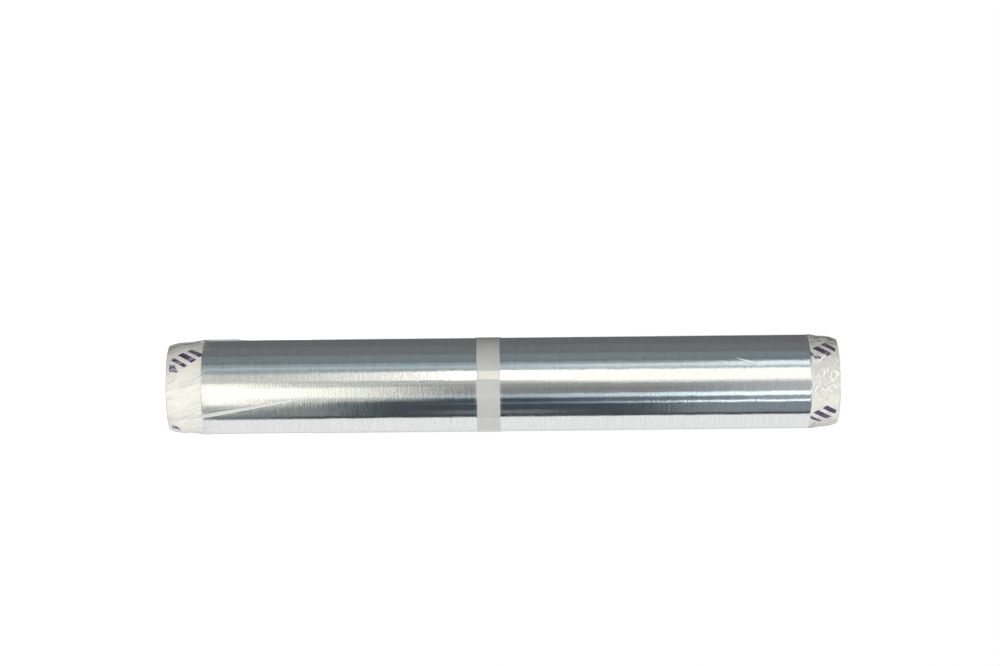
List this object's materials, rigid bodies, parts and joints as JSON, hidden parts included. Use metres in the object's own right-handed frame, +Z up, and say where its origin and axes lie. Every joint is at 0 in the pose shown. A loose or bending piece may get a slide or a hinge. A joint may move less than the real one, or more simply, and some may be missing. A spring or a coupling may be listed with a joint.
{
  "type": "aluminium foil roll",
  "caption": "Roll of aluminium kitchen foil on a hollow paper core tube, closed with a paper band and sleeved in clear shrink film.",
  "frame": {"origin": "centre of the foot of the roll as it stands on one end, on the core's axis", "axes": "+Z up along the core's axis, from the end with the wider strip of bare core to the other; the free edges of the foil and the band face +Y"},
  "size_m": [0.0426, 0.0426, 0.3002],
  "materials": {
    "core_paper": "white coated outer ply with purple print",
    "foil": "bright rolled, fine lines round the roll",
    "band_paper": "satin white",
    "film": "clear shrink film, glossy, creased at the ends"
  },
  "bodies": {
    "root": {"core_tube": "core_paper", "foil_roll": "foil", "closing_band": "band_paper", "wrap_film": "film"}
  },
  "joints": []
}
